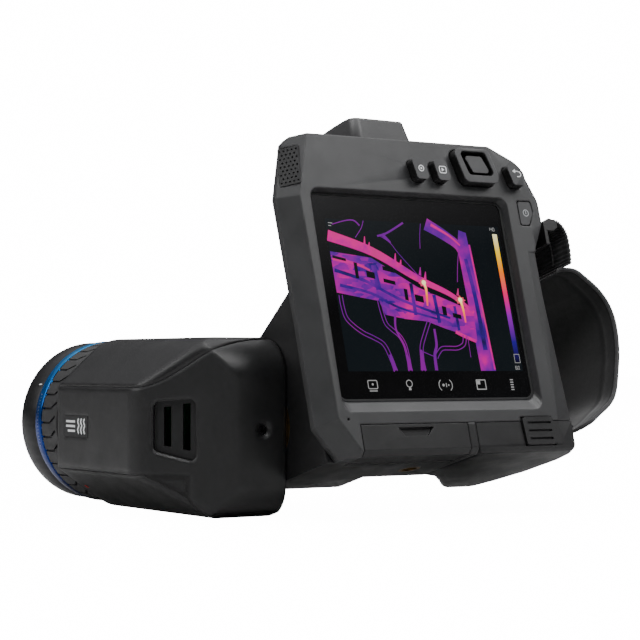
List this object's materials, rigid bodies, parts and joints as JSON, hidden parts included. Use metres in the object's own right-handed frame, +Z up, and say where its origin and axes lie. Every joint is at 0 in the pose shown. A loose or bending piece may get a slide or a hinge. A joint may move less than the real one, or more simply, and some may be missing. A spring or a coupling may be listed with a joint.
{
  "type": "thermal imaging camera",
  "caption": "Hand-held thermal imaging camera: touch display unit with keys, battery grip and hand strap, and an optical block with a focus ring that tilts on a side hub.",
  "frame": {"origin": "on the optical block's flat underside, straight below the crossing of the lens axis and the tilt axis", "axes": "+Y forwards along the level lens, +X along the tilt axis towards the display unit, +Z up"},
  "size_m": [0.2043, 0.168, 0.1577],
  "materials": {
    "shell_grey": "fine spark-eroded texture, graphite grey",
    "housing_black": "fine texture, near black",
    "key_plastic": "satin key caps",
    "dark_key": "satin black",
    "glass_cover": "polished cover glass over a dark display",
    "display_panel": "display module",
    "circuit_board": "solder mask",
    "grip_rubber": "soft overmould",
    "blue_anodised": "blue anodised, satin",
    "black_anodised": "black anodised, satin",
    "ring_rubber": "grooved grip ring",
    "germanium": "coated infrared lens",
    "clear_lens": "small clear optic",
    "steel": "bright steel",
    "brass_insert": "plain brass",
    "bronze": "plain bush",
    "gold_contact": "gold plated",
    "strap_fabric": "padded woven strap",
    "strap_web": "ribbed webbing",
    "red_mark": "printed mark",
    "badge": "blank badge"
  },
  "bodies": {
    "display_unit": {"rear_shell": "shell_grey", "front_shell": "housing_black", "display_glass": "glass_cover", "lcd_panel": "display_panel", "main_board": "circuit_board", "key_board": "circuit_board", "speaker": "steel", "speaker_grille": "dark_key", "microphone": "dark_key", "flap_pin": "steel", "port_strip": "dark_key", "port_tongue": "gold_contact", "battery_contacts": "gold_contact", "antenna_cover": "housing_black", "grip_cover": "grip_rubber", "hand_strap_pad": "strap_fabric", "strap_bracket": "dark_key", "strap_webbing_upper": "strap_web", "strap_webbing_lower": "strap_web", "strap_anchor": "dark_key", "hub_bush": "bronze", "tripod_insert": "brass_insert", "shell_screws": "steel"},
    "optics": {"optic_top_shell": "housing_black", "optic_bottom_shell": "housing_black", "optic_side_shell": "housing_black", "strap_slot_plate": "dark_key", "optic_screw": "steel", "side_badge": "badge", "index_mark": "red_mark", "barrel_shroud": "housing_black", "lens_barrel": "black_anodised", "accent_ring": "blue_anodised", "front_rim": "black_anodised", "visual_camera": "clear_lens", "laser_pointer": "clear_lens", "lamps": "clear_lens", "front_lens": "germanium", "rear_lens": "germanium", "lens_cell": "black_anodised", "detector_module": "black_anodised", "optics_board": "circuit_board", "tilt_shaft": "steel", "shaft_ring": "steel"},
    "focus_ring": {"focus_ring": "ring_rubber"},
    "p_button": {"p_button": "key_plastic"},
    "gallery_button": {"gallery_button": "key_plastic"},
    "back_button": {"back_button": "key_plastic"},
    "power_button": {"power_button": "key_plastic"},
    "nav_gimbal": {"nav_gimbal": "dark_key"},
    "nav_pad": {"nav_pad": "dark_key"},
    "nav_center": {"nav_center": "key_plastic"},
    "trigger_button": {"trigger_button": "dark_key"},
    "focus_button": {"focus_button": "dark_key"},
    "laser_button": {"laser_button": "dark_key"},
    "connector_flap": {"connector_flap": "housing_black"},
    "battery": {"battery_pack": "housing_black"},
    "battery_latch_rear": {"battery_latch_rear": "dark_key"},
    "battery_latch_front": {"battery_latch_front": "dark_key"}
  },
  "joints": [
    {"name": "lens_tilt", "type": "hinge", "parent": "display_unit", "child": "optics", "pos_m": [0.03, 0, 0.0347], "axis": [1, 0, 0], "range_deg": [-105.5, 74.5]},
    {"name": "focus_turn", "type": "hinge", "parent": "optics", "child": "focus_ring", "pos_m": [0, 0.0876, 0.0347], "axis": [0, 1, 0], "range_deg": [-60, 60]},
    {"name": "p_press", "type": "slide", "parent": "display_unit", "child": "p_button", "axis": [0, 0.9636, -0.2672], "range_m": [0, 0.0008], "stiffness_N_per_m": 900},
    {"name": "gallery_press", "type": "slide", "parent": "display_unit", "child": "gallery_button", "axis": [0, 0.9636, -0.2672], "range_m": [0, 0.0008], "stiffness_N_per_m": 900},
    {"name": "back_press", "type": "slide", "parent": "display_unit", "child": "back_button", "axis": [0, 0.9636, -0.2672], "range_m": [0, 0.0008], "stiffness_N_per_m": 900},
    {"name": "power_press", "type": "slide", "parent": "display_unit", "child": "power_button", "axis": [0, 0.9636, -0.2672], "range_m": [0, 0.0006], "stiffness_N_per_m": 900},
    {"name": "nav_updown", "type": "hinge", "parent": "display_unit", "child": "nav_gimbal", "pos_m": [0.1037, -0.01482, 0.13729], "axis": [1, 0, 0], "range_deg": [-2.5, 2.5], "stiffness_Nm_per_rad": 0.4},
    {"name": "nav_leftright", "type": "hinge", "parent": "nav_gimbal", "child": "nav_pad", "pos_m": [0.1037, -0.01482, 0.13729], "axis": [0, 0.2672, 0.9636], "range_deg": [-2.5, 2.5], "stiffness_Nm_per_rad": 0.4},
    {"name": "nav_center_press", "type": "slide", "parent": "display_unit", "child": "nav_center", "axis": [0, 0.9636, -0.2672], "range_m": [0, 0.0008], "stiffness_N_per_m": 900},
    {"name": "trigger_press", "type": "slide", "parent": "display_unit", "child": "trigger_button", "axis": [0, -0.9636, 0.2672], "range_m": [0, 0.0012], "stiffness_N_per_m": 900},
    {"name": "focus_press", "type": "slide", "parent": "display_unit", "child": "focus_button", "axis": [0, -0.2672, -0.9636], "range_m": [0, 0.0008], "stiffness_N_per_m": 900},
    {"name": "laser_press", "type": "slide", "parent": "display_unit", "child": "laser_button", "axis": [0, -0.2672, -0.9636], "range_m": [0, 0.0008], "stiffness_N_per_m": 900},
    {"name": "flap_hinge", "type": "hinge", "parent": "display_unit", "child": "connector_flap", "pos_m": [0.05435, -0.03892, 0.02308], "axis": [1, 0, 0], "range_deg": [0, 100]},
    {"name": "battery_slide", "type": "slide", "parent": "display_unit", "child": "battery", "axis": [0, -0.2672, -0.9636], "range_m": [0, 0.09]},
    {"name": "latch_rear_press", "type": "slide", "parent": "battery", "child": "battery_latch_rear", "axis": [0, 0.9636, -0.2672], "range_m": [0, 0.0012], "stiffness_N_per_m": 900},
    {"name": "latch_front_press", "type": "slide", "parent": "battery", "child": "battery_latch_front", "axis": [0, -0.9636, 0.2672], "range_m": [0, 0.0012], "stiffness_N_per_m": 900}
  ]
}
